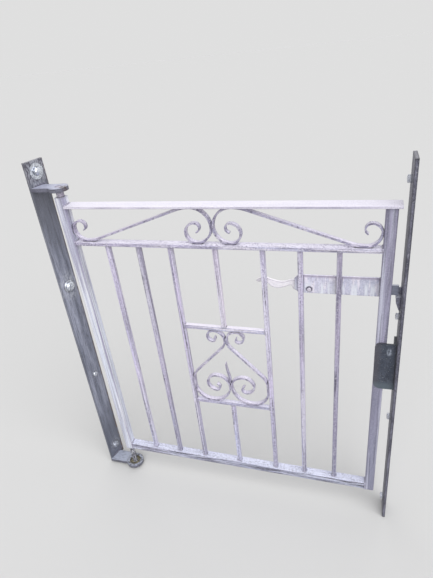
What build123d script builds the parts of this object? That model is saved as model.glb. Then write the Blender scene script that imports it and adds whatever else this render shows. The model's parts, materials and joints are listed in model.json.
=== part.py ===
"""Wrought steel garden gate: one leaf hung between two steel wall strips.

Millimetres, +Z up. X runs along the closed leaf from the hinge side to the latch side, and
+Y points into the garden, the way the leaf opens. The origin lies on the flat back of the
hinge strip, at the middle of its length.
"""

from build123d import *
from math import atan2, cos, degrees, radians, sin, sqrt
import os

# Leaf frame: square stiles, a flat top rail, a second rail and a square bottom rail
stile_side = 25.0
stile_spacing = 798.0
rail_to_rail = 875.5
top_rail_width = 40.0
top_rail_thickness = 6.0
top_rail_overhang = 8.0
second_rail_drop = 103.0
second_rail_width = 25.0
second_rail_thickness = 10.0
bottom_rail_side = 25.0
hinge_stile_rise = 24.0
frame_corner = 2.5

# Upright bars and the panel that the heart stands in
bar_side = 12.0
bar_corner = 1.0
bar_pitch = 89.0
bars_each_side = 3
centre_half_bay = 118.0
panel_rail_side = 12.0
panel_upper_rise = 527.0
panel_lower_rise = 257.0

# Flat band of the scrollwork
band_width = 12.0
band_thickness = 5.0
band_tip = 3.0
band_taper = 60.0

# Heart scrolls: bend radii from the neck outwards
heart_top_radii = (29.0, 20.0, 15.0)
heart_top_end = (8.0, 140.0)
heart_neck_straight = 3.0
heart_neck_radius = 34.0
heart_shoulder_radius = 48.0
heart_side_straight = 25.0
heart_side_radius = 49.0
heart_inner_radii = (37.0, 30.0, 25.0)
heart_inner_end = (11.5, 165.0)
spike_length = 72.0
spike_turn = 12.0
spike_tip = 1.5

# Top scrolls: bend radii of the two ends and of the long tail
crest_outer_radius = 49.0
crest_inner_radii = (26.0, 25.0)
crest_inner_end = (12.0, 170.0)
tail_bend_radius = 112.0
tail_curl_radii = (32.0, 22.0, 14.0)
tail_curl_end = (12.0, 65.0)

# Hinge side: wall strip on a splayed jamb that leans out at its foot, two lugs and their pins
strip_width = 60.0
strip_thickness = 8.0
flat_corner = 1.0
hinge_strip_below = 100.0
hinge_strip_above = 64.0
jamb_splay = 13.0
jamb_lean = 0.92
hinge_reach = 75.4
lug_thickness = 10.0
lug_front = 16.0
top_lug_width = 38.0
top_eye_radius = 25.0
top_lug_gap = 16.5
bottom_lug_width = 45.0
bottom_eye_radius = 29.0
bottom_lug_drop = 85.0
pin_radius = 8.0
pin_clearance = 0.05
pin_inset = 0.5
collar_radius = 10.0
collar_gap = 0.5
cup_radius = 19.0
cup_depth = 4.0
pin_seat = 0.3
pin_floor = 2.5

# Latch side: wall strip on the other leaning jamb, catch and stop
latch_strip_length = 1078.0
latch_strip_below = 102.0
latch_jamb_lean = 0.61
latch_gap = 24.3
bolt_radius = 6.5
hinge_bolts = (58.0, 390.0, 723.0, 1063.0)
latch_bolts = (59.0, 385.0, 704.0, 1031.0)
stop_length = 138.0
stop_rise = 393.0
stop_thickness = 6.0
stop_leg = 50.0
stop_return = 38.0
stop_upper_corner = 14.0
stop_lower_corner = 19.0
stop_gap = 0.5
catch_thickness = 10.0
catch_foot = 3.0
catch_shelf = 14.0
catch_height = 34.0
catch_crest = 18.0
catch_crest_flat = 3.0
catch_ramp_run = 22.0
catch_front = 11.0
lever_seat = 0.3
catch_gap = 1.0

# Latch: plate behind the bars, lever behind the plate
plate_height = 48.5
plate_thickness = 5.0
plate_rise = 649.0
plate_overrun = 10.0
plate_chamfer = 10.0
lever_height = 25.0
lever_thickness = 6.0
lever_gap = 2.0
lever_rise = 651.0
lever_end_gap = 8.0
pivot_radius = 5.0
pivot_clearance = 0.05
pivot_head_radius = 6.5
pivot_head_height = 4.5
pivot_head_dome = 3.5
pivot_inset = 13.0
pivot_tail_height = 2.0
pivot_rise = 660.0

# Lever handle: stations by their distance from the pivot, thickness and middle height over it
lever_shoulder_out = 42.0
lever_shoulder_radius = 12.0
handle_neck = (44.0, 15.0, 11.5)
handle_throat = (57.0, 13.5, 7.3)
handle_hollow = (67.0, 15.7, 4.3)
handle_belly = (76.0, 18.5, 3.8)
handle_swell = (86.0, 20.0, 5.4)
handle_rise = (95.0, 18.5, 9.0)
handle_fall = (103.0, 14.0, 14.3)
handle_waist = (117.0, 9.0, 16.4)
handle_knob = (124.0, 8.5, 14.2)
handle_tip = (131.0, 1.5, 13.5)

# Places worked out from the sizes above. Heights count from the bottom rail's axis, and
# lengths along the leaf from the hinge axis, until place() moves a piece to the origin.
half_stile = stile_side / 2
leaf_middle = stile_spacing / 2
top_rail_under = rail_to_rail - top_rail_thickness / 2
second_rail_rise = rail_to_rail - second_rail_drop
second_rail_top = second_rail_rise + second_rail_thickness / 2
second_rail_under = second_rail_rise - second_rail_thickness / 2
bottom_rail_top = bottom_rail_side / 2
hinge_stile_top = rail_to_rail + hinge_stile_rise
latch_face = stile_spacing + half_stile + latch_gap
strip_back = hinge_reach + strip_thickness
top_lug_under = hinge_stile_top + top_lug_gap
top_lug_top = top_lug_under + lug_thickness
hinge_strip_top = top_lug_top + hinge_strip_above
strip_middle_rise = (hinge_strip_top - hinge_strip_below) / 2
bottom_lug_under = -bottom_lug_drop - lug_thickness
bottom_lug_top = -bottom_lug_drop
hinge_axis = Vector(strip_back * cos(radians(jamb_splay)), -strip_back * sin(radians(jamb_splay)), 0)
plate_back = bar_side / 2 + plate_thickness
lever_front = plate_back + lever_gap
lever_back = lever_front + lever_thickness
lever_reach = latch_face - lever_end_gap
bar_six = leaf_middle + centre_half_bay + bar_pitch
plate_left = bar_six - bar_side / 2 - plate_overrun
pivot_x = bar_six + bar_side / 2 + pivot_inset
seat_rise = lever_rise - lever_seat

os.makedirs("parts", exist_ok=True)


def place(shape):
    """Move a piece from the hinge axis and the bottom rail's axis to the origin."""
    return Pos(hinge_axis.X, hinge_axis.Y, -strip_middle_rise) * shape


def save(name, shape):
    export_step(shape, f"parts/{name}.step")


def bar(x_low, x_high, y_low, y_high, z_low, z_high):
    """A square or flat bar given by its faces."""
    size = (x_high - x_low, y_high - y_low, z_high - z_low)
    middle = ((x_high + x_low) / 2, (y_high + y_low) / 2, (z_high + z_low) / 2)
    return Pos(*middle) * Box(*size)


def rolled(shape, along, corner):
    """The same bar with the rounded long edges of a rolled section."""
    return fillet(shape.edges().filter_by(along), corner)


def upright(x, side, corner, z_low, z_high):
    """A square bar that stands on the leaf's middle plane."""
    square = bar(x - side / 2, x + side / 2, -side / 2, side / 2, z_low, z_high)
    return rolled(square, Axis.Z, corner)


def run(x_low, x_high, width, thickness, corner, rise):
    """A bar that lies along the leaf, its axis at the given height."""
    flat = bar(x_low, x_high, -width / 2, width / 2, rise - thickness / 2, rise + thickness / 2)
    return rolled(flat, Axis.X, corner)


def s_bend(along, across, first_radius, second_radius, side):
    """Bends that step a band sideways and leave it parallel to where it began."""
    reach = first_radius + second_radius
    straight = sqrt(along ** 2 + (reach - across) ** 2 - reach ** 2)
    turn = degrees(atan2(reach, straight) - atan2(reach - across, along))
    return [(first_radius, side * turn), (straight, 0), (second_radius, -side * turn)]


def curl(radii, end, side):
    """Quarter bends of falling radius, with one last bend of its own turn."""
    return [(radius, side * 90) for radius in radii] + [(end[0], side * end[1])]


def drawn_ends(travelled, total):
    """Thickness of a scroll band, which thins over a short length at both of its ends."""
    share = min(1.0, min(travelled, total - travelled) / band_taper)
    return band_tip + (band_thickness - band_tip) * share


def drawn_point(travelled, total):
    """Thickness of the spike, which thins all the way from its foot to its tip."""
    return band_thickness + (spike_tip - band_thickness) * travelled / total


def walk(start, heading, bends):
    """Follow the middle line of a band: the start, middle and end of each of its bends."""
    x, z = start
    angle = radians(heading)
    gone = 0.0
    steps = []
    for size, turn in bends:
        first = (x, z, angle, gone)
        half_way = None
        if turn == 0:
            x += size * cos(angle)
            z += size * sin(angle)
            gone += size
        else:
            side = 1 if turn > 0 else -1
            sweep = radians(turn)
            centre_x = x - side * size * sin(angle)
            centre_z = z + side * size * cos(angle)
            half_angle = angle + sweep / 2
            half_x = centre_x + side * size * sin(half_angle)
            half_z = centre_z - side * size * cos(half_angle)
            half_way = (half_x, half_z, half_angle, gone + abs(sweep) * size / 2)
            angle += sweep
            x = centre_x + side * size * sin(angle)
            z = centre_z - side * size * cos(angle)
            gone += abs(sweep) * size
        steps.append((first, half_way, (x, z, angle, gone)))
    return steps


def from_far_end(start, heading, bends):
    """The same bends taken from their far end, as start, heading and bends."""
    x, z, angle, gone = walk(start, heading, bends)[-1][2]
    turned = [(size, -turn) for size, turn in reversed(bends)]
    return (x, z), degrees(angle) + 180, turned


def band(start, heading, bends, hand, middle, thickness=drawn_ends):
    """A flat band on edge, bent in the leaf's plane. A hand of -1 gives the left-hand one."""
    steps = walk(start, heading, bends)
    total = steps[-1][2][3]

    def sides(station):
        x, z, angle, gone = station
        half = thickness(gone, total) / 2
        across = (-sin(angle) * half, cos(angle) * half)
        return [(middle + hand * (x + sign * across[0]), z + sign * across[1]) for sign in (1, -1)]

    edges = [Line(*sides(steps[0][0])), Line(*sides(steps[-1][2]))]
    for first, half_way, last in steps:
        for side in (0, 1):
            ends = (sides(first)[side], sides(last)[side])
            if half_way is None:
                edges.append(Line(*ends))
            else:
                edges.append(ThreePointArc(ends[0], sides(half_way)[side], ends[1]))
    return extrude(Plane.XZ * make_face(edges), band_width / 2, both=True)


def strip(foot, top, bolts):
    """A flat wall bar, its near face at X = 0, with bolt holes at given heights over its foot."""
    blank = bar(-strip_thickness, 0, -strip_width / 2, strip_width / 2, foot, top)
    blank = rolled(blank, Axis.Z, flat_corner)
    for bolt in bolts:
        through = Rot(0, 90, 0) * Cylinder(bolt_radius, 2 * strip_thickness)
        blank -= Pos(-strip_thickness / 2, 0, foot + bolt) * through
    return blank


def on_hinge_jamb(shape):
    """Lean a strip about the middle of its back, then turn it to the splay of its jamb."""
    leaned = Pos(-strip_back, 0, strip_middle_rise) * Rot(0, jamb_lean, 0) * Pos(
        strip_thickness, 0, -strip_middle_rise) * shape
    return Rot(0, 0, -jamb_splay) * leaned


def on_latch_jamb(shape):
    """Lean a piece of the latch side about the middle of its strip's near face."""
    middle = latch_strip_length / 2 - latch_strip_below
    return Pos(latch_face, 0, middle) * Rot(0, -latch_jamb_lean, 0) * Pos(-latch_face, 0, -middle) * shape


def lug(under, width, eye_radius):
    """A flat bar on its side, cut to the strip's face, with a round eye about the hinge axis."""
    top = under + lug_thickness
    arm = bar(-2 * strip_back, 0, -lug_front, width - lug_front, under, top)
    eye = Pos(0, 0, (under + top) / 2) * Cylinder(eye_radius, lug_thickness)
    behind_strip = bar(-2 * strip_back, 0, -strip_back, strip_back, under - strip_back, top + strip_back)
    return arm - on_hinge_jamb(behind_strip) + eye


def hinge_bore(radius, low, high):
    return Pos(0, 0, (low + high) / 2) * Cylinder(radius, high - low)


# Hinge side
save("hinge_strip", place(on_hinge_jamb(strip(-hinge_strip_below, hinge_strip_top, hinge_bolts))))

top_lug = lug(top_lug_under, top_lug_width, top_eye_radius)
top_lug -= hinge_bore(pin_radius + pin_clearance, top_lug_under - 1, top_lug_top + 1)
save("top_hinge_lug", place(top_lug))

bore_floor = bottom_lug_under + pin_floor
bottom_lug = lug(bottom_lug_under, bottom_lug_width, bottom_eye_radius)
bottom_lug -= hinge_bore(cup_radius, bottom_lug_top - cup_depth, bottom_lug_top + 1)
bottom_lug -= hinge_bore(pin_radius + pin_clearance, bore_floor, bottom_lug_top)
save("bottom_hinge_lug", place(bottom_lug))

# Leaf frame. The top pin is turned down from a collar that stops just under its lug
save("hinge_stile", place(upright(0, stile_side, frame_corner, -bottom_rail_top, hinge_stile_top)))
collar = hinge_bore(collar_radius, hinge_stile_top, top_lug_under - collar_gap)
save("top_hinge_pin", place(collar + hinge_bore(pin_radius, hinge_stile_top, top_lug_top - pin_inset)))
save("bottom_hinge_pin", place(hinge_bore(pin_radius, bore_floor + pin_seat, -bottom_rail_top)))
save("latch_stile", place(upright(
    stile_spacing, stile_side, frame_corner, -bottom_rail_top, top_rail_under)))

top_rail_end = stile_spacing + half_stile + top_rail_overhang
save("top_rail", place(run(
    half_stile, top_rail_end, top_rail_width, top_rail_thickness, flat_corner, rail_to_rail)))
inner_end = stile_spacing - half_stile
save("second_rail", place(run(
    half_stile, inner_end, second_rail_width, second_rail_thickness, flat_corner, second_rail_rise)))
save("bottom_rail", place(run(half_stile, inner_end, bottom_rail_side, bottom_rail_side, frame_corner, 0)))

# Upright bars, numbered from the hinge side, with the panel rails between bars 3 and 5
for number in range(bars_each_side):
    out = centre_half_bay + number * bar_pitch
    left_name = f"bar_{bars_each_side - number}"
    right_name = f"bar_{bars_each_side + 2 + number}"
    for name, x in ((left_name, leaf_middle - out), (right_name, leaf_middle + out)):
        save(name, place(upright(x, bar_side, bar_corner, bottom_rail_top, second_rail_under)))

panel_left = leaf_middle - centre_half_bay + bar_side / 2
panel_right = leaf_middle + centre_half_bay - bar_side / 2
panel_upper_under = panel_upper_rise - panel_rail_side / 2
panel_lower_top = panel_lower_rise + panel_rail_side / 2
for name, rise in (("panel_upper_rail", panel_upper_rise), ("panel_lower_rail", panel_lower_rise)):
    save(name, place(run(panel_left, panel_right, panel_rail_side, panel_rail_side, bar_corner, rise)))
save("centre_bar_upper", place(upright(
    leaf_middle, bar_side, bar_corner, panel_upper_rise + panel_rail_side / 2, second_rail_under)))
save("centre_bar_lower", place(upright(
    leaf_middle, bar_side, bar_corner, bottom_rail_top, panel_lower_rise - panel_rail_side / 2)))

# Heart: each half runs from a small curl under the upper rail, down the neck and shoulder to
# the side bar, round the bottom and into a spiral that meets its twin on the middle line
half_band = band_thickness / 2
heart_span = (panel_right - panel_left) / 2 - band_thickness
neck_top = panel_upper_under - half_band - heart_top_radii[0]
neck_bottom = neck_top - heart_neck_straight
side_top = panel_lower_top + half_band + heart_side_radius + heart_side_straight
heart_meeting_radius = heart_span - heart_side_radius
meeting_rise = panel_lower_top + half_band + heart_meeting_radius
neck_start, neck_heading, top_curl = from_far_end(
    (half_band, neck_top), 90, curl(heart_top_radii, heart_top_end, -1))
heart_bends = top_curl + [(heart_neck_straight, 0)]
heart_bends += s_bend(neck_bottom - side_top, heart_span, heart_neck_radius, heart_shoulder_radius, 1)
heart_bends += [(heart_side_straight, 0)]
heart_bends += curl(
    (heart_side_radius, heart_meeting_radius) + heart_inner_radii, heart_inner_end, -1)
for name, hand in (("heart_scroll_left", -1), ("heart_scroll_right", 1)):
    save(name, place(band(neck_start, neck_heading, heart_bends, hand, leaf_middle)))

# Spike: its foot sits where the two spirals leave room for its thickness
crotch_radius = heart_inner_radii[0] + half_band
spike_foot = meeting_rise + sqrt(crotch_radius ** 2 - (crotch_radius - half_band) ** 2)
spike_radius = spike_length / 2 / radians(spike_turn)
spike_bends = [(spike_radius, spike_turn), (spike_radius, -spike_turn)]
save("heart_spike", place(band((0, spike_foot), 90, spike_bends, 1, leaf_middle, drawn_point)))

# Top scrolls: from a spiral beside the middle line up under the top rail, down a long tail
# to the second rail and into a small curl that reaches the stile
crest_height = top_rail_under - second_rail_top - band_thickness
crest_lower_radius = crest_height - crest_outer_radius
crest_rise = second_rail_top + half_band + crest_lower_radius
crest_span = leaf_middle - half_stile - half_band
tail_run = crest_span - half_band - crest_outer_radius - tail_curl_radii[0]
crest_start, crest_heading, crest_spiral = from_far_end(
    (half_band, crest_rise), -90, curl((crest_lower_radius,) + crest_inner_radii, crest_inner_end, 1))
crest_bends = crest_spiral + [(crest_outer_radius, -90)]
crest_bends += s_bend(tail_run, crest_height, tail_bend_radius, tail_bend_radius, -1)
crest_bends += curl(tail_curl_radii, tail_curl_end, 1)
for name, hand in (("top_scroll_left", -1), ("top_scroll_right", 1)):
    save(name, place(band(crest_start, crest_heading, crest_bends, hand, leaf_middle)))


def across(radius, y_low, y_high):
    """A round piece on the latch pivot's axis, which lies along Y."""
    body = Rot(90, 0, 0) * Cylinder(radius, y_high - y_low)
    return Pos(pivot_x, (y_low + y_high) / 2, pivot_rise) * body


# Latch plate behind bars 6 and 7, with the corners of its free end cut off
plate_top = plate_rise + plate_height
plate_outline = Polyline(
    (plate_left + plate_chamfer, plate_rise), (inner_end, plate_rise), (inner_end, plate_top),
    (plate_left + plate_chamfer, plate_top), (plate_left, plate_top - plate_chamfer),
    (plate_left, plate_rise + plate_chamfer), close=True)
latch_plate = extrude(Plane.XZ.offset(-bar_side / 2) * make_face(plate_outline), -plate_thickness)
save("latch_plate", place(latch_plate - across(pivot_radius, 0, plate_back + 1)))

# Rivet through the plate and the lever, headed at the front and closed at the back
rivet_front = bar_side / 2
rivet_back = lever_back + lever_seat
rivet = across(pivot_radius, rivet_front, rivet_back)
rivet_head = across(pivot_head_radius, rivet_front - pivot_head_height, rivet_front)
rivet += fillet(rivet_head.edges().sort_by(Axis.Y)[0], pivot_head_dome)
rivet += across(pivot_head_radius, rivet_back, rivet_back + pivot_tail_height)
save("lever_rivet", place(rivet))

# Lever: a straight tongue behind the latch stile, drawn out past a rounded shoulder to a wavy
# handle that swells to a belly and ends in a small pointed knob
lever_top = lever_rise + lever_height
shoulder_x = pivot_x - lever_shoulder_out
shoulder_end = shoulder_x + lever_shoulder_radius


def handle_side(station, side):
    """The point of a handle station on its upper side (1) or lower side (-1)."""
    out, thickness, rise = station
    return pivot_x - out, pivot_rise + rise + side * thickness / 2


handle_stations = (
    handle_neck, handle_throat, handle_hollow, handle_belly, handle_swell, handle_rise,
    handle_fall, handle_waist, handle_knob, handle_tip)
upper_points = [handle_side(station, 1) for station in handle_stations]
lower_points = [handle_side(station, -1) for station in reversed(handle_stations)]
handle_over = Spline((shoulder_end, lever_top), *upper_points)
handle_under = Spline(*lower_points)
shoulder_round = lever_shoulder_radius * (1 - cos(radians(45)))
lever_outline = [
    handle_over, Line(handle_over @ 1, handle_under @ 0), handle_under,
    Line(handle_under @ 1, (shoulder_x, lever_rise + lever_shoulder_radius)),
    ThreePointArc((shoulder_x, lever_rise + lever_shoulder_radius),
                  (shoulder_x + shoulder_round, lever_rise + shoulder_round), (shoulder_end, lever_rise)),
    Line((shoulder_end, lever_rise), (lever_reach, lever_rise)),
    Line((lever_reach, lever_rise), (lever_reach, lever_top)),
    Line((lever_reach, lever_top), (shoulder_end, lever_top))]
lever = extrude(Plane.XZ.offset(-lever_front) * make_face(lever_outline), -lever_thickness)
save("latch_lever", place(lever - across(pivot_radius + pivot_clearance, lever_front - 1, lever_back + 1)))

# Latch side: wall strip, the angle that stops the leaf, and the catch that holds the lever
latch_strip = Pos(latch_face, 0, 0) * Rot(0, 0, 180) * strip(
    -latch_strip_below, latch_strip_length - latch_strip_below, latch_bolts)
save("latch_strip", place(on_latch_jamb(latch_strip)))

stop_back = -half_stile - stop_gap
stop_front = stop_back - stop_thickness
stop_top = stop_rise + stop_length
stop_free_edge = latch_face - stop_leg
stop_plate = bar(stop_free_edge, latch_face, stop_front, stop_back, stop_rise, stop_top)
for rise, corner in ((stop_rise, stop_lower_corner), (stop_top, stop_upper_corner)):
    free_corner = (stop_free_edge, stop_front, rise)
    stop_plate = fillet(stop_plate.edges().filter_by(Axis.Y).sort_by_distance(free_corner)[0], corner)
save("stop_plate", place(on_latch_jamb(stop_plate)))
save("stop_flange", place(on_latch_jamb(bar(
    latch_face - stop_thickness, latch_face, stop_back, stop_front + stop_return, stop_rise, stop_top))))

catch_left = latch_face - catch_thickness
crest_y = lever_back + catch_gap
crest_top = seat_rise + catch_crest
catch_points = [
    (lever_front - catch_front, seat_rise), (crest_y, seat_rise), (crest_y, crest_top),
    (crest_y + catch_crest_flat, crest_top), (crest_y + catch_crest_flat + catch_ramp_run, seat_rise),
    (crest_y + catch_crest_flat + catch_ramp_run, seat_rise - catch_thickness),
    (crest_y, seat_rise - catch_height), (lever_front - catch_front, seat_rise - catch_height)]
catch_face = make_face(Polyline(*catch_points, close=True))
catch_side = extrude(Plane.YZ.offset(catch_left) * catch_face, catch_thickness)
catch_outline = Polyline(
    (latch_face, seat_rise - catch_height), (latch_face, crest_top), (catch_left, crest_top),
    (catch_left, seat_rise - catch_shelf), (latch_face - catch_foot, seat_rise - catch_height), close=True)
catch_front_view = extrude(Plane.XZ * make_face(catch_outline), strip_width, both=True)
save("latch_catch", place(on_latch_jamb(catch_side & catch_front_view)))
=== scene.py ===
"""Look of the wrought steel garden gate: primer, paint, bolts, welds and light around its solids.

Metres, in the model's own frame: +Z up, +X from the hinge side to the latch side, +Y from the
front of the gate to its back. The steel nodes keep their solids and get their finishes here;
the weld beads and the heads of the bolts through the two strips are made here.
"""
import bpy
import json
from math import radians
from mathutils import Euler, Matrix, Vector


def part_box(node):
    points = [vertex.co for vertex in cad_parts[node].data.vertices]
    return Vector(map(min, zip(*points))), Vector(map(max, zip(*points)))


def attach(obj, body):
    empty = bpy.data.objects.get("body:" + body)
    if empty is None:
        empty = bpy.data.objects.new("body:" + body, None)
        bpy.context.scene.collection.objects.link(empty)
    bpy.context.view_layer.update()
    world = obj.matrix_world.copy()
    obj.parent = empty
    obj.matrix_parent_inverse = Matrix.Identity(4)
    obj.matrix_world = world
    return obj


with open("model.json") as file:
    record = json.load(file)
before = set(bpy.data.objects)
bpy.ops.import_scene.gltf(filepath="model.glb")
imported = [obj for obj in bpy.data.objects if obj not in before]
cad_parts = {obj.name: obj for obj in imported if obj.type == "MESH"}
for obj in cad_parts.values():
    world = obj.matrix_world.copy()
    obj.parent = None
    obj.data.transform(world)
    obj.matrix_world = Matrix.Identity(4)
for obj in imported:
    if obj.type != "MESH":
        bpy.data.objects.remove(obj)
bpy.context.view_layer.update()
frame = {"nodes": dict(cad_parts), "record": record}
nodes = frame["nodes"]
scene = bpy.context.scene
scene.view_settings.view_transform = "Standard"


# Camera: held by hand in front of the gate, a little above its top rail and near its latch
# side, tilted down and rolled a few degrees, with a wide lens.
camera_data = bpy.data.cameras.new("camera")
camera_data.lens = 28.52
camera_data.sensor_width = 36.0
camera = bpy.data.objects.new("camera", camera_data)
camera.location = (0.825263, -0.983543, 0.7805)
camera.rotation_euler = Euler((radians(60.53), radians(6.152), radians(16.661)))
scene.collection.objects.link(camera)
scene.camera = camera


# Daylight: an overcast sky, brightest overhead and in front. The floor is a pale backdrop to
# the camera, and a dull grey to the light that it throws back up.
def put(tree, value, socket):
    """Set a socket to a plain value, or join another node's socket to it."""
    if isinstance(value, bpy.types.NodeSocket):
        tree.links.new(value, socket)
    elif isinstance(value, tuple) and len(socket.default_value) == 4:
        socket.default_value = (*value, 1)
    else:
        socket.default_value = value


def add_node(tree, kind, inputs, **settings):
    """A node with its settings, and with inputs given by their names or numbers."""
    node = tree.nodes.new(kind)
    for name, value in settings.items():
        setattr(node, name, value)
    for name, value in inputs.items():
        put(tree, value, node.inputs[name])
    return node


def mix_colour(tree, share, first, second):
    """A colour between two others, each a plain colour or another node's socket."""
    first_socket, second_socket, result_socket = 6, 7, 2
    inputs = {"Factor": share, first_socket: first, second_socket: second}
    return add_node(tree, "ShaderNodeMix", inputs, data_type="RGBA").outputs[result_socket]


def worked(tree, operation, *values):
    """A sum on plain values or sockets, held between 0 and 1, where every share and length lies."""
    inputs = dict(enumerate(values))
    return add_node(tree, "ShaderNodeMath", inputs, operation=operation, use_clamp=True).outputs["Value"]


def seen_directly(tree):
    """1 for what the camera sees, also by reflection or through glass, and 0 for light thrown on."""
    ray = tree.nodes.new("ShaderNodeLightPath").outputs
    seen = worked(tree, "ADD", ray["Is Camera Ray"], ray["Is Glossy Ray"])
    return worked(tree, "ADD", seen, ray["Is Transmission Ray"])


def new_finish(name, metallic, roughness):
    """A material with its node tree and its shader."""
    material = bpy.data.materials.new(name)
    material.use_nodes = True
    shader = material.node_tree.nodes["Principled BSDF"]
    shader.inputs["Metallic"].default_value = metallic
    shader.inputs["Roughness"].default_value = roughness
    return material, material.node_tree, shader


scene.world = bpy.data.worlds.new("overcast_sky")
scene.world.use_nodes = True
tree = scene.world.node_tree
sky_colour = mix_colour(tree, seen_directly(tree), (0.57, 0.57, 0.57), (0.74, 0.74, 0.74))
put(tree, sky_colour, tree.nodes["Background"].inputs["Color"])

for name, strength, turn in (("sky_in_front", 2.6, (50, 0, 34)), ("sky_behind", 0.6, (-62, 0, 12))):
    sky_lamp = bpy.data.lights.new(name, "SUN")
    sky_lamp.energy = strength
    sky_lamp.angle = radians(75)
    lamp = bpy.data.objects.new(name, sky_lamp)
    lamp.rotation_euler = Euler([radians(angle) for angle in turn])
    scene.collection.objects.link(lamp)

floor_reach = 30.0
floor_gap = 0.002
floor_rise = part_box("latch_strip")[0].z - floor_gap
floor_mesh = bpy.data.meshes.new("floor")
floor_mesh.from_pydata([(x * floor_reach, y * floor_reach, floor_rise)
                        for x, y in ((-1, -1), (1, -1), (1, 1), (-1, 1))], [], [(0, 1, 2, 3)])
floor = bpy.data.objects.new("floor", floor_mesh)
scene.collection.objects.link(floor)
floor_paint, tree, shader = new_finish("floor_paint", 0.0, 0.95)
shader.inputs["Specular IOR Level"].default_value = 0.0
floor_colour = mix_colour(tree, seen_directly(tree), (0.26, 0.25, 0.24), (0.62, 0.62, 0.62))
put(tree, floor_colour, shader.inputs["Base Color"])
floor_mesh.materials.append(floor_paint)


# Bars: six upright bars of 12 mm square steel and the two halves of the middle one, welded
# between the rails, rubbed bright and brushed with a thin lilac-grey primer. Its streaks run
# along each bar, and dark steel shows in the brushed lines.
NUMBER, VECTOR, COLOUR = "NodeSocketFloat", "NodeSocketVector", "NodeSocketColor"


def new_group(name, inputs, outputs, kind="ShaderNodeTree"):
    """An empty node group with named sockets, what it is given and what it puts out."""
    group = bpy.data.node_groups.new(name, kind)
    for label, socket_kind, value in inputs:
        socket = group.interface.new_socket(label, in_out="INPUT", socket_type=socket_kind)
        if value is not None:
            socket.default_value = value
    for label, socket_kind in outputs:
        group.interface.new_socket(label, in_out="OUTPUT", socket_type=socket_kind)
    return group, group.nodes.new("NodeGroupInput").outputs, group.nodes.new("NodeGroupOutput").inputs


def use_effect(tree, group, values):
    """The outputs of an effect that is placed in a material or in another effect."""
    return add_node(tree, "ShaderNodeGroup", values, node_tree=group).outputs


def vector_worked(tree, operation, *values):
    """A sum on vectors: its outputs are a Vector and a Value."""
    return add_node(tree, "ShaderNodeVectorMath", dict(enumerate(values)), operation=operation).outputs


def ranged(tree, value, start, end, interpolation="LINEAR"):
    """0 to 1 as a value goes from its start to its end."""
    return add_node(tree, "ShaderNodeMapRange", {"Value": value, "From Min": start, "From Max": end},
                    interpolation_type=interpolation).outputs["Result"]


def point_on_piece(tree):
    """A surface point in the model's frame, which stays with its piece when the gate moves."""
    return tree.nodes.new("ShaderNodeTexCoord").outputs["Object"]


def streaks_effect():
    """Noise drawn out along one axis: brush and mill marks. Stretch is small along the bar."""
    tree, given, out = new_group("Drawn streaks", (
        ("Stretch", VECTOR, (1, 1, 1)), ("Scale", NUMBER, 60), ("Detail", NUMBER, 4),
        ("Low", NUMBER, 0.35), ("High", NUMBER, 0.65)), (("Mask", NUMBER),))
    drawn = vector_worked(tree, "MULTIPLY", point_on_piece(tree), given["Stretch"])["Vector"]
    noise = add_node(tree, "ShaderNodeTexNoise", {
        "Vector": drawn, "Scale": given["Scale"], "Detail": given["Detail"]}).outputs["Fac"]
    put(tree, ranged(tree, noise, given["Low"], given["High"]), out["Mask"])
    return tree


streaks = streaks_effect()
evenly = (1.0, 1.0, 1.0)


def marks(tree, stretch, scale, detail, low, high):
    """Streaks or specks: none where the noise is low, full where it is high."""
    return use_effect(tree, streaks, {
        "Stretch": stretch, "Scale": scale, "Detail": detail, "Low": low, "High": high})["Mask"]


def corners_effect():
    """How near a surface is to an outer edge or to an inner corner, both from 0 to 1."""
    tree, given, out = new_group("Edges and corners", (("Reach", NUMBER, 0.003),),
                                 (("Corner", NUMBER), ("Edge", NUMBER)))
    for name, inside in (("Corner", False), ("Edge", True)):
        shade = add_node(tree, "ShaderNodeAmbientOcclusion", {"Distance": given["Reach"]},
                         samples=8, inside=inside)
        put(tree, ranged(tree, shade.outputs["AO"], 1.0, 0.5), out[name])
    return tree


corners = corners_effect()


def place_effect():
    """0 to 1 between two places along a direction."""
    tree, given, out = new_group("Place along a direction", (
        ("Direction", VECTOR, (0, 0, 1)), ("From", NUMBER, 0), ("To", NUMBER, 1)), (("Mask", NUMBER),))
    place = vector_worked(tree, "DOT_PRODUCT", point_on_piece(tree), given["Direction"])["Value"]
    put(tree, ranged(tree, place, given["From"], given["To"], "SMOOTHSTEP"), out["Mask"])
    return tree


place_along = place_effect()
directions = {"X": (1, 0, 0), "Y": (0, 1, 0), "Z": (0, 0, 1)}


def place_mask(tree, axis, start, end):
    """0 to 1 between two places along X, Y or Z."""
    return use_effect(tree, place_along, {"Direction": directions[axis], "From": start, "To": end})["Mask"]


def facing_effect():
    """1 on upward faces, 0 on upright ones."""
    tree, given, out = new_group("Facing up", (("From", NUMBER, 0.25), ("To", NUMBER, 0.8)),
                                 (("Mask", NUMBER),))
    normal = tree.nodes.new("ShaderNodeNewGeometry").outputs["Normal"]
    slope = vector_worked(tree, "DOT_PRODUCT", normal, directions["Z"])["Value"]
    put(tree, ranged(tree, slope, given["From"], given["To"]), out["Mask"])
    return tree


upward = facing_effect()


def facing_up(tree):
    """A mask of the upward faces, where top light is painted into the colour."""
    return use_effect(tree, upward, {})["Mask"]


def laid_over(tree, colour, coat, *shares):
    """A coat over a colour, which shows by the product of its shares."""
    share = shares[0]
    for part in shares[1:]:
        share = worked(tree, "MULTIPLY", share, part)
    return mix_colour(tree, share, colour, coat)


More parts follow.
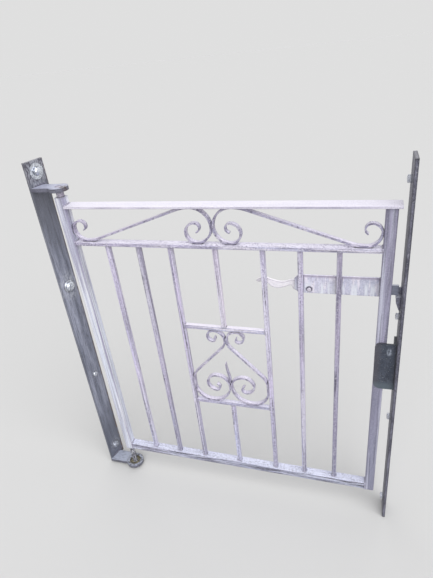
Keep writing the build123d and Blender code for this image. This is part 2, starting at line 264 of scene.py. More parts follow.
def primer_effect():
    """Brushed primer: warm and cool lilac, dark brushed lines; painted top light, edge and corner shade.
    """
    tree, given, out = new_group("Brushed primer", (
        ("Stretch", VECTOR, (1, 1, 1)), ("Warm", COLOUR, (0.6, 0.5, 0.65, 1)),
        ("Cool", COLOUR, (0.6, 0.63, 0.78, 1)), ("Dark", COLOUR, (0.19, 0.17, 0.25, 1)),
        ("Pale", COLOUR, (0.85, 0.84, 0.93, 1)), ("Edges", COLOUR, (0.19, 0.17, 0.25, 1)),
        ("Coolness", NUMBER, 0.5), ("Brushed", NUMBER, 0.6), ("Lines", NUMBER, 0.6),
        ("Tops", NUMBER, 0.7), ("Grain", NUMBER, 0.5)), (("Color", COLOUR), ("Height", NUMBER)))
    drift = marks(tree, evenly, 7, 3, 0.35, 0.65)
    coolness = worked(tree, "MULTIPLY", given["Coolness"], 0.7)
    drifted = worked(tree, "MULTIPLY_ADD", drift, 0.4, coolness)
    colour = mix_colour(tree, drifted, given["Warm"], given["Cool"])
    brushed = marks(tree, given["Stretch"], 230, 5, 0.57, 0.40)
    colour = laid_over(tree, colour, given["Dark"], brushed, given["Brushed"])
    pale_patch = marks(tree, given["Stretch"], 130, 3, 0.50, 0.61)
    colour = laid_over(tree, colour, given["Pale"], pale_patch, 0.85)
    lines = marks(tree, given["Stretch"], 330, 2, 0.56, 0.61)
    bare = mix_colour(tree, 0.6, given["Dark"], (0.03, 0.03, 0.04))
    colour = laid_over(tree, colour, bare, lines, given["Lines"])
    # Upward faces are painted pale: painted top light.
    tops = worked(tree, "MULTIPLY", facing_up(tree), given["Tops"])
    colour = laid_over(tree, colour, given["Pale"], tops)
    pits = marks(tree, evenly, 420, 3, 0.50, 0.64)
    colour = laid_over(tree, colour, given["Dark"], pits, given["Grain"])
    dots = marks(tree, evenly, 380, 2, 0.54, 0.62)
    colour = laid_over(tree, colour, given["Pale"], dots, given["Grain"])
    # Upright edges take the Edges colour and inner corners darken: painted shade.
    near = use_effect(tree, corners, {"Reach": 0.0035})
    upright_edge = worked(tree, "SUBTRACT", near["Edge"], tops)
    colour = laid_over(tree, colour, given["Edges"], upright_edge, 0.5)
    colour = laid_over(tree, colour, (0.09, 0.08, 0.10), near["Corner"], 0.85)
    put(tree, colour, out["Color"])
    put(tree, brushed, out["Height"])
    return tree


brushed_primer = primer_effect()
upright_stretch = (1.0, 1.0, 0.02)
level_stretch = (0.05, 1.0, 1.0)
warm_lilac = (0.66, 0.585, 0.80)
cool_lilac = (0.65, 0.69, 0.91)
bare_steel_and_edge_shade = (0.20, 0.18, 0.28)
pale_wear_and_top_light = (0.81, 0.79, 0.92)
across_leaf = ("X", 0.05, 0.85)


def add_bump(tree, shader, height, strength, depth):
    """Raise a surface by a height pattern."""
    bump = add_node(tree, "ShaderNodeBump", {"Strength": strength, "Distance": depth, "Height": height})
    put(tree, bump.outputs["Normal"], shader.inputs["Normal"])


def primer(name, stretch, warm=warm_lilac, cool=cool_lilac, dark=bare_steel_and_edge_shade, pale=pale_wear_and_top_light,
           edges=bare_steel_and_edge_shade, cooler=across_leaf, brushed=0.6, lines=0.6, tops=0.7, grain=0.5):
    """Primer on one piece; cooler says along what axis, from where and to where it turns cool."""
    material, tree, shader = new_finish(name, 0.1, 0.5)
    coat = use_effect(tree, brushed_primer, {
        "Stretch": stretch, "Warm": warm, "Cool": cool, "Dark": dark, "Pale": pale, "Edges": edges,
        "Coolness": place_mask(tree, *cooler), "Brushed": brushed, "Lines": lines, "Tops": tops,
        "Grain": grain})
    put(tree, coat["Color"], shader.inputs["Base Color"])
    add_bump(tree, shader, coat["Height"], strength=0.3, depth=0.0004)
    return material


def toned(colour, tone):
    """A colour made lighter or darker."""
    return tuple(tone * part for part in colour)


def paint(material, *names):
    """Give a material to CAD nodes."""
    for name in names:
        nodes[name].data.materials.clear()
        nodes[name].data.materials.append(material)


bar_tones = {"bar_1": (1.16, 1.05, 0.75), "bar_2": (0.98, 0.72, 1.0), "bar_3": (1.12, 0.74, 0.8),
             "bar_5": (1.2, 0.74, 0.65), "bar_6": (1.04, 0.82, 0.8), "bar_7": (0.80, 0.60, 0.75),
             "centre_bar_lower": (1.25, 1.1, 0.5)}
for name, (tone, foot_tone, brushed) in bar_tones.items():
    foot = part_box(name)[0].z
    paint(primer(
        name + "_primer", upright_stretch, warm=toned((0.68, 0.61, 0.82), tone),
        cool=toned((0.49, 0.52, 0.72), foot_tone), pale=toned((0.72, 0.70, 0.82), tone),
        edges=toned((0.48, 0.48, 0.60), tone), cooler=("Z", foot + 0.3, foot + 0.05), brushed=brushed,
        lines=1.0, grain=0.7), name)
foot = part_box("centre_bar_upper")[0].z
paint(primer(
    "centre_bar_upper_primer", upright_stretch, warm=(0.80, 0.72, 0.92), cool=(0.93, 0.87, 0.99),
    edges=(0.8, 0.76, 0.88), cooler=("Z", foot + 0.212, foot + 0.052), brushed=0.35, lines=0.6),
    "centre_bar_upper")


# Panel rails: two short level bars of the same 12 mm square steel, welded between the two bars
# beside the middle one; the heart stands between them. The lower one is a little darker.
paint(primer("panel_upper_rail_primer", level_stretch, pale=(0.88, 0.84, 0.92), brushed=0.55, lines=0.5,
             tops=0.85), "panel_upper_rail")
paint(primer("panel_lower_rail_primer", level_stretch, warm=toned(warm_lilac, 0.88),
             cool=toned(cool_lilac, 0.88), brushed=0.6, lines=0.5), "panel_lower_rail")


# Hinge stile: 25 mm square bar that carries the two pins, with a fuller and bluer coat of the
# primer than the bars have, and a worn line down its inner front arris.
stile_low, stile_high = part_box("hinge_stile")


def distance_effect():
    """0 to 1 between two distances from an axis. Across picks the directions that count."""
    tree, given, out = new_group("Distance from an axis", (
        ("Centre", VECTOR, (0, 0, 0)), ("Across", VECTOR, (1, 0, 1)),
        ("From", NUMBER, 0.009), ("To", NUMBER, 0.006)), (("Mask", NUMBER),))
    apart = vector_worked(tree, "SUBTRACT", point_on_piece(tree), given["Centre"])["Vector"]
    flat = vector_worked(tree, "MULTIPLY", apart, given["Across"])["Vector"]
    distance = vector_worked(tree, "LENGTH", flat)["Value"]
    put(tree, ranged(tree, distance, given["From"], given["To"], "SMOOTHSTEP"), out["Mask"])
    return tree


axis_distance = distance_effect()


def near_axis(tree, centre, across, reach, core):
    """1 inside a core round an axis, fading to 0 at its reach."""
    return use_effect(tree, axis_distance, {
        "Centre": tuple(centre), "Across": across, "From": reach, "To": core})["Mask"]


stile_primer = primer(
    "hinge_stile_primer", (0.8, 0.8, 0.02), warm=(0.46, 0.45, 0.60), cool=(0.82, 0.87, 1.0),
    pale=(0.92, 0.94, 1.0), cooler=("Z", stile_high.z - 0.15, stile_high.z - 0.45), brushed=0.3,
    lines=0.35, grain=0.25)
tree = stile_primer.node_tree
stile_colour = tree.nodes["Principled BSDF"].inputs["Base Color"]
primed = stile_colour.links[0].from_socket
inner_front = (stile_high.x, stile_low.y, 0)
arris = near_axis(tree, inner_front, (1, 1, 0), reach=0.0042, core=0.0018)
worn = marks(tree, (1, 1, 0.03), 150, 3, 0.30, 0.50)
put(tree, laid_over(tree, primed, (0.34, 0.32, 0.46), arris, worn), stile_colour)
paint(stile_primer, "hinge_stile")


# Latch stile: 25 mm square bar at the leaf's free side, brushed out thin, so that it is the
# darkest upright of the leaf, and darker still towards its foot.
paint(primer(
    "latch_stile_primer", (0.7, 0.7, 0.02), warm=(0.42, 0.39, 0.54), cool=(0.28, 0.285, 0.40),
    dark=(0.17, 0.17, 0.24), pale=(0.62, 0.63, 0.76), cooler=("Z", stile_high.z - 0.4, stile_low.z + 0.1),
    brushed=0.6, lines=0.45, tops=0.3, grain=0.35), "latch_stile")


# Rails: a wide flat for the top rail, a narrow flat for the second rail and a square bar for
# the bottom one, welded to the stiles. Their tops are painted pale as top light, the bottom rail
# is brushed thinnest, and long dark lines show in its face.
paint(primer(
    "top_rail_primer", level_stretch, warm=(0.88, 0.85, 0.95), cool=(0.56, 0.54, 0.68),
    pale=(0.83, 0.805, 0.90), edges=(0.6, 0.57, 0.72), cooler=("X", 0.45, 0.75), brushed=0.35,
    lines=0.25, tops=0.8, grain=0.4), "top_rail")
paint(primer(
    "second_rail_primer", level_stretch, warm=(0.67, 0.59, 0.80), cool=(0.55, 0.57, 0.77),
    pale=(0.87, 0.84, 0.95), edges=(0.42, 0.39, 0.54), brushed=0.85, lines=0.7, tops=0.75,
    grain=0.95), "second_rail")
paint(primer(
    "bottom_rail_primer", level_stretch, warm=(0.54, 0.51, 0.68), cool=(0.41, 0.45, 0.62),
    dark=(0.08, 0.075, 0.11), pale=(0.74, 0.76, 0.92), brushed=1.0, lines=0.9, tops=0.75,
    grain=0.7), "bottom_rail")


# Scrollwork: flat bands bent cold round a former, with the same primer, brushed less evenly
# because the brush could not follow the bends.
paint(primer(
    "scroll_primer", (0.3, 1.0, 0.3), warm=(0.56, 0.48, 0.65), cool=(0.56, 0.57, 0.76),
    pale=(0.84, 0.80, 0.93), brushed=0.75, lines=0.7, tops=0.65, grain=0.7),
    "heart_scroll_left", "heart_scroll_right", "heart_spike", "top_scroll_left", "top_scroll_right")


# Latch plate: a steel flat welded behind the last two bars, primed evenly, with white runs down
# its face, a dark line along its upper edge and a painted shadow ring in the groove round the rivet.
joints = {joint["name"]: Vector(joint["pos_m"]) for joint in frame["record"]["behaviour"]["joints"]}
pivot = joints["latch_lift"]
round_pivot = (1, 0, 1)
plate_low, plate_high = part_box("latch_plate")
plate_primer, tree, shader = new_finish("latch_plate_primer", 0.1, 0.5)
coat = use_effect(tree, brushed_primer, {
    "Stretch": (1.0, 1.0, 0.2), "Warm": (0.74, 0.73, 0.90), "Cool": (0.55, 0.57, 0.72),
    "Dark": (0.30, 0.30, 0.40), "Pale": (0.90, 0.86, 0.96), "Brushed": 0.3, "Lines": 0.1, "Tops": 0.5,
    "Coolness": place_mask(tree, "X", plate_low.x + 0.03, plate_high.x)})
runs = marks(tree, (1.0, 1.0, 0.12), 120, 4, 0.46, 0.60)
run_growth = place_mask(tree, "Z", plate_high.z - 0.008, plate_low.z + 0.016)
colour = laid_over(tree, coat["Color"], (0.84, 0.87, 0.95), runs, run_growth, 0.8)
upper_line = place_mask(tree, "Z", plate_high.z - 0.008, plate_high.z - 0.003)
upright = worked(tree, "SUBTRACT", 1.0, facing_up(tree))
colour = laid_over(tree, colour, (0.34, 0.29, 0.41), upper_line, upright, 0.6)
# A dark ring round the rivet: painted shade in the groove.
rivet_ring_shade = near_axis(tree, pivot, round_pivot, reach=0.0088, core=0.0062)
colour = laid_over(tree, colour, (0.07, 0.07, 0.10), rivet_ring_shade, 0.9)
put(tree, colour, shader.inputs["Base Color"])
paint(plate_primer, "latch_plate")


# Lever rivet: a round steel rivet through plate and lever, hammered to a low dome; primer
# covers its crown, and its rim is darkened as painted shade, with the dark ring round it.
rivet_primer, tree, shader = new_finish("lever_rivet_primer", 0.3, 0.35)
# The rim darkens as painted shade; the crown keeps the primer.
crown = near_axis(tree, pivot, round_pivot, reach=0.0062, core=0.0042)
put(tree, mix_colour(tree, crown, (0.10, 0.09, 0.13), (0.66, 0.63, 0.73)), shader.inputs["Base Color"])
paint(rivet_primer, "lever_rivet")


# Latch lever: one forged bar that turns on the rivet behind the plate, primed nearly white on
# its leaf-shaped handle, and left in a rubbed slate grey on the tongue past the latch stile.
lever_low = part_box("latch_lever")[0]
stile_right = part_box("latch_stile")[1].x
lever_primer, tree, shader = new_finish("latch_lever_primer", 0.0, 0.5)
coat = use_effect(tree, brushed_primer, {
    "Stretch": (0.4, 1.0, 1.0), "Warm": (0.99, 0.95, 0.99), "Cool": (0.86, 0.87, 0.97),
    "Dark": (0.40, 0.37, 0.48), "Pale": (0.97, 0.94, 0.98), "Brushed": 0.15, "Lines": 0.1, "Tops": 0.8,
    "Grain": 0.15, "Coolness": place_mask(tree, "X", lever_low.x + 0.07, lever_low.x + 0.14)})
rubbed_slate = marks(tree, (0.2, 1.0, 1.0), 220, 4, 0.35, 0.65)
slate = mix_colour(tree, rubbed_slate, (0.26, 0.285, 0.37), (0.46, 0.48, 0.60))
# Upward faces of the tongue are painted pale: painted top light.
slate = laid_over(tree, slate, (0.60, 0.62, 0.72), facing_up(tree))
tongue = place_mask(tree, "X", stile_right - 0.010, stile_right - 0.006)
put(tree, laid_over(tree, coat["Color"], slate, tongue), shader.inputs["Base Color"])
paint(lever_primer, "latch_lever")


# Leaf welds: short lumpy beads of arc weld along the front and the back of each joint of the
# leaf, brushed over with the same primer.
GEOMETRY, COUNT, MATERIAL = "NodeSocketGeometry", "NodeSocketInt", "NodeSocketMaterial"


def made_real(tree, instances, finish):
    """Instances made real geometry and given their finish."""
    real = add_node(tree, "GeometryNodeRealizeInstances", {"Geometry": instances})
    finished = add_node(tree, "GeometryNodeSetMaterial", {
        "Geometry": real.outputs["Geometry"], "Material": finish})
    return finished.outputs["Geometry"]


def weld_tree():
    """Overlapping blobs along the seams of a mesh of single edges."""
    tree, given, out = new_group("Weld beads", (
        ("Seams", GEOMETRY, None), ("Pitch", NUMBER, 0.002), ("Radius", NUMBER, 0.002),
        ("Unevenness", NUMBER, 0.3), ("Seed", COUNT, 4), ("Finish", MATERIAL, None)),
        (("Beads", GEOMETRY),), "GeometryNodeTree")
    line = add_node(tree, "GeometryNodeMeshToCurve", {"Mesh": given["Seams"]})
    stops = add_node(tree, "GeometryNodeCurveToPoints", {
        "Curve": line.outputs["Curve"], "Length": given["Pitch"]}, mode="LENGTH")
    blob = add_node(tree, "GeometryNodeMeshIcoSphere", {"Subdivisions": 2, "Radius": given["Radius"]})
    smallest = worked(tree, "SUBTRACT", 1.0, given["Unevenness"])
    least_socket, most_socket, result_socket = 2, 3, 1
    sizes = add_node(tree, "FunctionNodeRandomValue", {
        least_socket: smallest, most_socket: 1.0, "Seed": given["Seed"]}, data_type="FLOAT")
    laid = add_node(tree, "GeometryNodeInstanceOnPoints", {
        "Points": stops.outputs["Points"], "Instance": blob.outputs["Mesh"],
        "Scale": sizes.outputs[result_socket]})
    put(tree, made_real(tree, laid.outputs["Instances"], given["Finish"]), out["Beads"])
    return tree


def grown(name, points, edges, tree, values):
    """Run a Geometry Nodes tree over points and edges, and keep the result as a plain mesh."""
    start = bpy.data.meshes.new(name)
    start.from_pydata(points, edges, [])
    piece = bpy.data.objects.new(name, start)
    scene.collection.objects.link(piece)
    grower = piece.modifiers.new("grower", "NODES")
    grower.node_group = tree
    for item in tree.interface.items_tree:
        if item.in_out == "INPUT" and item.name in values:
            grower[item.identifier] = values[item.name]
    settled = piece.evaluated_get(bpy.context.evaluated_depsgraph_get())
    piece.data = bpy.data.meshes.new_from_object(settled)
    piece.modifiers.clear()
    return piece


lumpy_beads = weld_tree()
bead_inset = 0.001


def bead_run(name, lines, finish):
    """Weld beads along straight lines, each a pair of points."""
    points = [point for line in lines for point in line]
    edges = [(number, number + 1) for number in range(0, len(points), 2)]
    return grown(name, points, edges, lumpy_beads, {
        "Pitch": 0.0022, "Radius": 0.0021, "Unevenness": 0.35, "Seed": 4, "Finish": finish})


leaf_seams = []
for name in (*bar_tones, "centre_bar_upper"):
    low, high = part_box(name)
    for rise in (low.z, high.z):
        for face in (low.y, high.y):
            leaf_seams.append(((low.x + bead_inset, face, rise), (high.x - bead_inset, face, rise)))
for name in ("panel_upper_rail", "panel_lower_rail"):
    low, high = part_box(name)
    for end in (low.x, high.x):
        for face in (low.y, high.y):
            leaf_seams.append(((end, face, low.z + bead_inset), (end, face, high.z - bead_inset)))
for name in ("second_rail", "bottom_rail"):
    low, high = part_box(name)
    for end in (low.x, high.x):
        leaf_seams.append(((end, low.y + bead_inset, high.z), (end, high.y - bead_inset, high.z)))
        leaf_seams.append(((end, low.y, low.z + bead_inset), (end, low.y, high.z - bead_inset)))
rail_low, rail_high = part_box("top_rail")
leaf_seams.append(((rail_low.x, stile_low.y, rail_high.z), (rail_low.x, stile_high.y, rail_high.z)))
leaf_seams.append(((rail_low.x, stile_low.y, rail_low.z), (rail_low.x, stile_low.y, rail_high.z)))
leaf_beads = bead_run("leaf_weld_beads", leaf_seams, primer(
    "weld_primer", evenly, brushed=0.3, lines=0.2, tops=0.9))
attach(leaf_beads, "leaf")


# Hinge strip: a flat bar bolted up on the hinge side, in an old slate-grey paint streaked by
# rain. It is darker at its foot and just above the top lug, has a painted shadow below the top
# lug, is rusty along its back edge, and is flecked pale round each bolt.
def old_paint_effect():
    """Old paint: streaks down the strip, rubbed patches, specks, painted top light, painted edge and
    corner shade.
    """
    tree, given, out = new_group("Old slate paint", (
        ("Base", COLOUR, (0.2, 0.2, 0.25, 1)), ("Rubbed", COLOUR, (0.4, 0.4, 0.45, 1)),
        ("Shade", COLOUR, (0.08, 0.08, 0.1, 1)), ("Top", COLOUR, (0.4, 0.42, 0.5, 1)),
        ("Stretch", VECTOR, (1, 1, 0.1)), ("Edge Shade", NUMBER, 0.5), ("Speckle", NUMBER, 0.5),
        ("Corner Shade", NUMBER, 0.7)), (("Color", COLOUR), ("Height", NUMBER)))
    clouds = marks(tree, given["Stretch"], 60, 5, 0.36, 0.64)
    colour = mix_colour(tree, clouds, given["Base"], given["Rubbed"])
    rain = marks(tree, given["Stretch"], 330, 4, 0.47, 0.68)
    colour = laid_over(tree, colour, given["Shade"], rain, 0.6)
    grain = marks(tree, evenly, 300, 3, 0.5, 0.72)
    colour = laid_over(tree, colour, given["Rubbed"], grain, given["Speckle"])
    pits = marks(tree, evenly, 390, 2, 0.44, 0.30)
    colour = laid_over(tree, colour, given["Shade"], pits, given["Speckle"])
    specks = marks(tree, evenly, 420, 2, 0.68, 0.71)
    colour = laid_over(tree, colour, (0.6, 0.6, 0.6), specks, 0.7)
    # Upward faces take the Top colour, streaked by rain: painted top light.
    streaked_lit_top = laid_over(tree, given["Top"], given["Shade"], rain, 0.5)
    colour = laid_over(tree, colour, streaked_lit_top, facing_up(tree))
    # Edges and inner corners darken: painted shade.
    near = use_effect(tree, corners, {"Reach": 0.004})
    colour = laid_over(tree, colour, given["Shade"], near["Edge"], given["Edge Shade"])
    colour = laid_over(tree, colour, (0.06, 0.055, 0.06), near["Corner"], given["Corner Shade"])
    put(tree, colour, out["Color"])
    put(tree, rain, out["Height"])
    return tree


old_paint = old_paint_effect()


def slate_finish(name, roughness, values):
    """A material in the old paint, with its node tree, its shader and the paint's colour."""
    material, tree, shader = new_finish(name, 0.0, roughness)
    coat = use_effect(tree, old_paint, values)
    add_bump(tree, shader, coat["Height"], strength=0.2, depth=0.0003)
    return material, tree, shader, coat["Color"]


strip_low, strip_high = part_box("hinge_strip")
lug_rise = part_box("top_hinge_lug")[0].z
strip_paint, tree, shader, colour = slate_finish("hinge_strip_paint", 0.5, {
    "Base": (0.165, 0.18, 0.24), "Rubbed": (0.40, 0.42, 0.53), "Shade": (0.055, 0.055, 0.07),
    "Top": (0.16, 0.16, 0.18), "Stretch": (1.0, 1.0, 0.08), "Edge Shade": 0.9, "Speckle": 0.35})
dark_foot = place_mask(tree, "Z", strip_low.z + 0.34, strip_low.z + 0.12)
colour = laid_over(tree, colour, (0.085, 0.095, 0.13), dark_foot, 0.7)
# Painted shadow of the top lug on the strip below it.
shade_under_lug = place_mask(tree, "Z", lug_rise - 0.28, lug_rise - 0.03)
colour = laid_over(tree, colour, (0.11, 0.115, 0.14), shade_under_lug, 0.7)
above_lug = place_mask(tree, "Z", lug_rise + 0.012, lug_rise + 0.03)
colour = laid_over(tree, colour, (0.085, 0.075, 0.10), above_lug, 0.6)
back_edge = place_mask(tree, "Y", strip_high.y - 0.010, strip_high.y - 0.004)
rust_marks = marks(tree, (1.0, 1.0, 0.3), 170, 3, 0.40, 0.55)
colour = laid_over(tree, colour, (0.15, 0.105, 0.08), back_edge, rust_marks)
bolt_mounts = {mount["name"]: mount for mount in frame["record"]["mounts"] if mount["kind"] == "bore"}
for number, reach, strength in ((1, 0.030, 0.4), (2, 0.016, 0.3), (3, 0.044, 0.8), (4, 0.050, 0.6)):
    bolt = bolt_mounts[f"hinge_strip_bolt_{number}"]["pos_m"]
    halo = near_axis(tree, bolt, (1, 1, 0.7), reach=reach, core=reach * 0.4)
    flecks = marks(tree, (1, 1, 0.4), 260, 3, 0.42, 0.60)
    colour = laid_over(tree, colour, (0.52, 0.54, 0.61), halo, flecks, strength)
put(tree, colour, shader.inputs["Base Color"])
paint(strip_paint, "hinge_strip")


# Latch strip and catch: a flat bar bolted up on the latch side, in the same paint but nearly
# black, and a tapered catch welded to it, with a painted highlight on its top.
latch_paint, tree, shader, colour = slate_finish("latch_strip_paint", 0.5, {
    "Base": (0.065, 0.065, 0.095), "Rubbed": (0.22, 0.22, 0.29), "Shade": (0.018, 0.018, 0.025),
    "Top": (0.2, 0.2, 0.24), "Stretch": (1.0, 1.0, 0.3), "Edge Shade": 0.75, "Speckle": 0.9})
put(tree, colour, shader.inputs["Base Color"])
paint(latch_paint, "latch_strip")
# The catch's pale Top colour is a painted highlight.
catch_paint, tree, shader, colour = slate_finish("catch_paint", 0.45, {
    "Base": (0.30, 0.305, 0.41), "Rubbed": (0.50, 0.51, 0.64), "Shade": (0.08, 0.08, 0.10),
    "Top": (0.85, 0.87, 0.98), "Stretch": (1.0, 1.0, 0.5), "Edge Shade": 0.1, "Speckle": 0.6,
    "Corner Shade": 0.25})
put(tree, colour, shader.inputs["Base Color"])
paint(catch_paint, "latch_catch")


# Hinge lugs: two flats with round ends, welded to the hinge strip, with painted top light on
# their upper faces. The top one has a dark patch beside its pin, rust with painted shade; the
# bottom one is a cup full of grit, with grease and white drips round it.
hinge_axis = joints["gate_swing"]
round_hinge = (1, 1, 0)
# The pale Top colour is painted top light.
lug_values = {"Base": (0.10, 0.10, 0.14), "Rubbed": (0.19, 0.19, 0.25), "Shade": (0.05, 0.05, 0.07),
              "Top": (0.44, 0.455, 0.58), "Stretch": (0.2, 1.0, 1.0), "Edge Shade": 0.25, "Speckle": 0.4}
lug_paint, tree, shader, colour = slate_finish("top_lug_paint", 0.5, lug_values)
# A dark patch beside the top pin: partly rust, partly painted shade.
rust_and_shade_centre = hinge_axis + Vector((0.017, -0.004, 0))
rust_and_shade = near_axis(tree, rust_and_shade_centre, round_hinge, reach=0.013, core=0.006)
rust_marks = marks(tree, evenly, 260, 4, 0.35, 0.55)
put(tree, laid_over(tree, colour, (0.075, 0.05, 0.045), rust_and_shade, rust_marks), shader.inputs["Base Color"])
paint(lug_paint, "top_hinge_lug")

cup_paint, tree, shader, colour = slate_finish("bottom_lug_paint", 0.5, {
    **lug_values, "Base": (0.12, 0.125, 0.16), "Top": (0.38, 0.41, 0.51), "Speckle": 0.7})
splashed = near_axis(tree, hinge_axis, round_hinge, reach=0.034, core=0.024)
grease = marks(tree, evenly, 150, 4, 0.58, 0.40)
colour = laid_over(tree, colour, (0.085, 0.085, 0.10), splashed, grease)
drips = marks(tree, evenly, 330, 3, 0.60, 0.66)
colour = laid_over(tree, colour, (0.62, 0.63, 0.68), splashed, drips)
grains = marks(tree, evenly, 210, 3, 0.45, 0.58)
grit = mix_colour(tree, grains, (0.045, 0.045, 0.05), (0.22, 0.19, 0.10))
cup = near_axis(tree, hinge_axis, round_hinge, reach=0.0205, core=0.018)
put(tree, laid_over(tree, colour, grit, cup), shader.inputs["Base Color"])
paint(cup_paint, "bottom_hinge_lug")


# Strip welds: one bead above and one below the top lug, one above the bottom lug, and one down
# the front of the catch, all painted over with the old slate grey.
strip_thickness = 0.008
lug_front = -0.016
top_lug_width = 0.038
bottom_lug_width = 0.045
catch_crest = 0.018


def on_strip(spot, bolt):
    """The nearest point to a spot on the near face of the strip that a bolt goes through."""
    facing = -Vector(bolt_mounts[bolt]["axis"])
    seat = Vector(bolt_mounts[bolt]["pos_m"]) + facing * strip_thickness / 2
    return spot - facing * (spot - seat).dot(facing)


strip_facing = -Vector(bolt_mounts["hinge_strip_bolt_1"]["axis"])
across_strip = Vector((-strip_facing.y, strip_facing.x, 0)).normalized()
top_lug_low, top_lug_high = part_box("top_hinge_lug")
bottom_lug_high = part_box("bottom_hinge_lug")[1]
wall_seams = []
for rise, width in ((top_lug_low.z, top_lug_width), (top_lug_high.z, top_lug_width),
                    (bottom_lug_high.z, bottom_lug_width)):
    ends = [hinge_axis + across_strip * along for along in
            (lug_front + bead_inset, lug_front + width - bead_inset)]
    wall_seams.append([on_strip(Vector((end.x, end.y, rise)), "hinge_strip_bolt_1") for end in ends])
catch_low, catch_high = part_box("latch_catch")
wall_seams.append([on_strip(Vector((catch_high.x, catch_low.y, rise)), "latch_strip_bolt_1")
                    for rise in (catch_low.z + bead_inset, catch_high.z - catch_crest - bead_inset)])
wall_beads = bead_run("wall_weld_beads", wall_seams, primer(
    "wall_weld_paint", evenly, warm=(0.20, 0.205, 0.27), cool=(0.13, 0.135, 0.18),
    dark=(0.05, 0.05, 0.07), pale=(0.34, 0.35, 0.44), brushed=0.4, lines=0.2, tops=0.5))
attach(wall_beads, "wall_fixings")


# Hinge pins: round bar, greased and never painted clean. The top one is smeared with primer,
# the bottom one is mottled with grit and splashes.
paint(primer("top_pin_primer", evenly, warm=(0.46, 0.42, 0.54), cool=(0.46, 0.42, 0.54),
             dark=(0.15, 0.13, 0.16), pale=(0.6, 0.57, 0.68), tops=0.1), "top_hinge_pin")
bottom_pin_finish, tree, shader = new_finish("bottom_pin_finish", 0.2, 0.5)
mottle = marks(tree, (1, 1, 0.6), 190, 4, 0.4, 0.6)
colour = mix_colour(tree, mottle, (0.06, 0.06, 0.07), (0.30, 0.30, 0.36))
splashes = marks(tree, (1, 1, 0.4), 330, 3, 0.56, 0.62)
put(tree, laid_over(tree, colour, (0.66, 0.67, 0.72), splashes), shader.inputs["Base Color"])
paint(bottom_pin_finish, "bottom_hinge_pin")


# Stop: a short piece of unequal angle in blue-black paint, with a painted highlight near its
# top and a painted reflection of the leaf's stile in a greyed band down its free edge.
stop_low, stop_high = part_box("stop_plate")
stop_paint, tree, shader, colour = slate_finish("stop_paint", 0.5, {
    "Base": (0.030, 0.039, 0.062), "Rubbed": (0.066, 0.078, 0.11), "Shade": (0.015, 0.018, 0.028),
    "Top": (0.07, 0.08, 0.10), "Stretch": (1.0, 1.0, 0.6), "Edge Shade": 0.3, "Speckle": 0.4})
# Painted reflection of the leaf's stile: a greyed band down the free edge.
stile_reflection = place_mask(tree, "X", stop_low.x + 0.020, stop_low.x + 0.006)
colour = laid_over(tree, colour, (0.10, 0.09, 0.105), stile_reflection, 0.45)
splashed_foot = place_mask(tree, "Z", stop_low.z + 0.03, stop_low.z + 0.008)
colour = laid_over(tree, colour, (0.12, 0.155, 0.185), splashed_foot, 0.6)
# Painted highlight: a bright patch near the top.
highlight_spot = (stop_high.x - 0.018, stop_low.y, stop_high.z - 0.022)
pale_patch = near_axis(tree, highlight_spot, (1.0, 0, 0.55), reach=0.008, core=0.002)
highlight_marks = marks(tree, (1, 1, 0.4), 240, 4, 0.36, 0.56)
put(tree, laid_over(tree, colour, (0.34, 0.38, 0.46), pale_patch, highlight_marks), shader.inputs["Base Color"])
paint(stop_paint, "stop_plate", "stop_flange")


# Strip bolts: zinc-plated steel bolts that hold the strips up, all of one thread but with the
# heads that were at hand: hexagons on the latch side, domes and one wide washer on the hinge
# side. Each head sits on its strip's near face, over its hole.
def bolt_tree():
    """Heads on the points of a mesh: a prism of some sides, a domed cap and a round washer."""
    lengths = ("Prism Radius", "Prism Height", "Cap Radius", "Cap Height", "Washer Radius",
               "Washer Thickness")
    tree, given, out = new_group("Strip bolt heads", (
        ("Seats", GEOMETRY, None), ("Facing", VECTOR, (0, 0, 1)), ("Sides", COUNT, 6),
        *((length, NUMBER, 0.001) for length in lengths), ("Finish", MATERIAL, None)),
        (("Heads", GEOMETRY),), "GeometryNodeTree")
    washer = add_node(tree, "GeometryNodeMeshCylinder", {
        "Vertices": 32, "Radius": given["Washer Radius"], "Depth": given["Washer Thickness"]})
    washer_middle = worked(tree, "MULTIPLY", given["Washer Thickness"], 0.5)
    prism = add_node(tree, "GeometryNodeMeshCylinder", {
        "Vertices": given["Sides"], "Radius": given["Prism Radius"], "Depth": given["Prism Height"]})
    prism_middle = worked(tree, "MULTIPLY_ADD", given["Prism Height"], 0.5, given["Washer Thickness"])
    ball = add_node(tree, "GeometryNodeMeshUVSphere", {"Segments": 24, "Rings": 12, "Radius": 1.0})
    cap_size = add_node(tree, "ShaderNodeCombineXYZ", {
        "X": given["Cap Radius"], "Y": given["Cap Radius"], "Z": given["Cap Height"]})
    cap = add_node(tree, "GeometryNodeTransform", {
        "Geometry": ball.outputs["Mesh"], "Scale": cap_size.outputs["Vector"]})
    prism_top = worked(tree, "ADD", given["Prism Height"], given["Washer Thickness"])
    head = tree.nodes.new("GeometryNodeJoinGeometry")
    for shape, rise in ((washer.outputs["Mesh"], washer_middle), (prism.outputs["Mesh"], prism_middle),
                        (cap.outputs["Geometry"], prism_top)):
        lift = add_node(tree, "ShaderNodeCombineXYZ", {"Z": rise}).outputs["Vector"]
        lifted = add_node(tree, "GeometryNodeTransform", {"Geometry": shape, "Translation": lift})
        put(tree, lifted.outputs["Geometry"], head.inputs["Geometry"])
    turn = add_node(tree, "FunctionNodeAlignRotationToVector", {"Vector": given["Facing"]}, axis="Z")
    placed = add_node(tree, "GeometryNodeInstanceOnPoints", {
        "Points": given["Seats"], "Instance": head.outputs["Geometry"],
        "Rotation": turn.outputs["Rotation"]})
    put(tree, made_real(tree, placed.outputs["Instances"], given["Finish"]), out["Heads"])
    return tree


bolt_heads = bolt_tree()


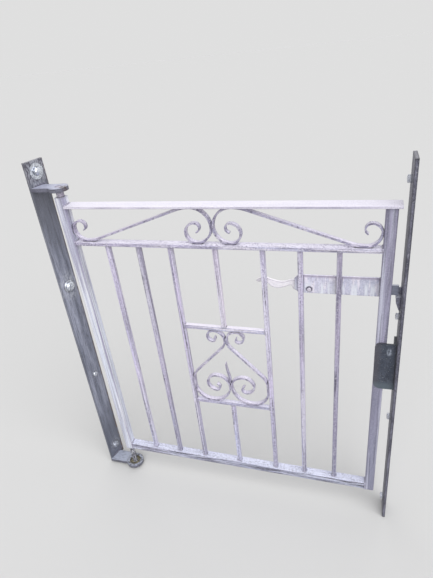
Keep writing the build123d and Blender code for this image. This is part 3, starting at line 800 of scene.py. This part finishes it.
def zinc(name, metallic, roughness, bright, dulled):
    """Zinc plate with dull patches and painted shade in its corners."""
    finish, tree, shader = new_finish(name, metallic, roughness)
    colour = mix_colour(tree, marks(tree, evenly, 300, 3, 0.42, 0.6), bright, dulled)
    # Inner corners darken: painted shade.
    near = use_effect(tree, corners, {"Reach": 0.0025})
    put(tree, laid_over(tree, colour, (0.10, 0.10, 0.12), near["Corner"]), shader.inputs["Base Color"])
    return finish


bright_zinc = zinc("bright_zinc", 0.85, 0.28, (0.82, 0.86, 0.93), (0.42, 0.44, 0.50))
scuffed_zinc = zinc("scuffed_zinc", 0.3, 0.35, (0.84, 0.87, 0.95), (0.50, 0.52, 0.60))
weathered_zinc = zinc("weathered_zinc", 0.5, 0.3, (0.50, 0.54, 0.62), (0.20, 0.21, 0.26))
hexagon = {"Sides": 6, "Prism Radius": 0.0088, "Prism Height": 0.0065, "Cap Radius": 0.0072,
           "Cap Height": 0.0014, "Washer Radius": 0.0098, "Washer Thickness": 0.0014}
wide_washer = {"Sides": 6, "Prism Radius": 0.0115, "Prism Height": 0.005, "Cap Radius": 0.0105,
               "Cap Height": 0.006, "Washer Radius": 0.021, "Washer Thickness": 0.003}
dome = {"Sides": 24, "Prism Radius": 0.0145, "Prism Height": 0.002, "Cap Radius": 0.0145,
        "Cap Height": 0.009, "Washer Radius": 0.0185, "Washer Thickness": 0.0018}
low_dome = {"Sides": 24, "Prism Radius": 0.0115, "Prism Height": 0.002, "Cap Radius": 0.0115,
            "Cap Height": 0.0075, "Washer Radius": 0.0145, "Washer Thickness": 0.0015}
small_dome = {"Sides": 24, "Prism Radius": 0.008, "Prism Height": 0.0015, "Cap Radius": 0.008,
              "Cap Height": 0.0045, "Washer Radius": 0.0085, "Washer Thickness": 0.001}
latch_bolts = [f"latch_strip_bolt_{number}" for number in (1, 2, 3, 4)]
for label, sizes, zinc_finish, names in (
        ("latch_bolt_heads", hexagon, scuffed_zinc, latch_bolts),
        ("washered_bolt_head", wide_washer, bright_zinc, ["hinge_strip_bolt_4"]),
        ("dome_bolt_head", dome, bright_zinc, ["hinge_strip_bolt_3"]),
        ("low_dome_bolt_head", low_dome, weathered_zinc, ["hinge_strip_bolt_1"]),
        ("small_bolt_head", small_dome, bright_zinc, ["hinge_strip_bolt_2"])):
    facing = -Vector(bolt_mounts[names[0]]["axis"])
    seats = [Vector(bolt_mounts[name]["pos_m"]) + facing * strip_thickness / 2 for name in names]
    heads = grown(label, seats, [], bolt_heads, {"Facing": tuple(facing), "Finish": zinc_finish, **sizes})
    for polygon in heads.data.polygons:
        polygon.use_smooth = sizes["Sides"] > 6
    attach(heads, "wall_fixings")
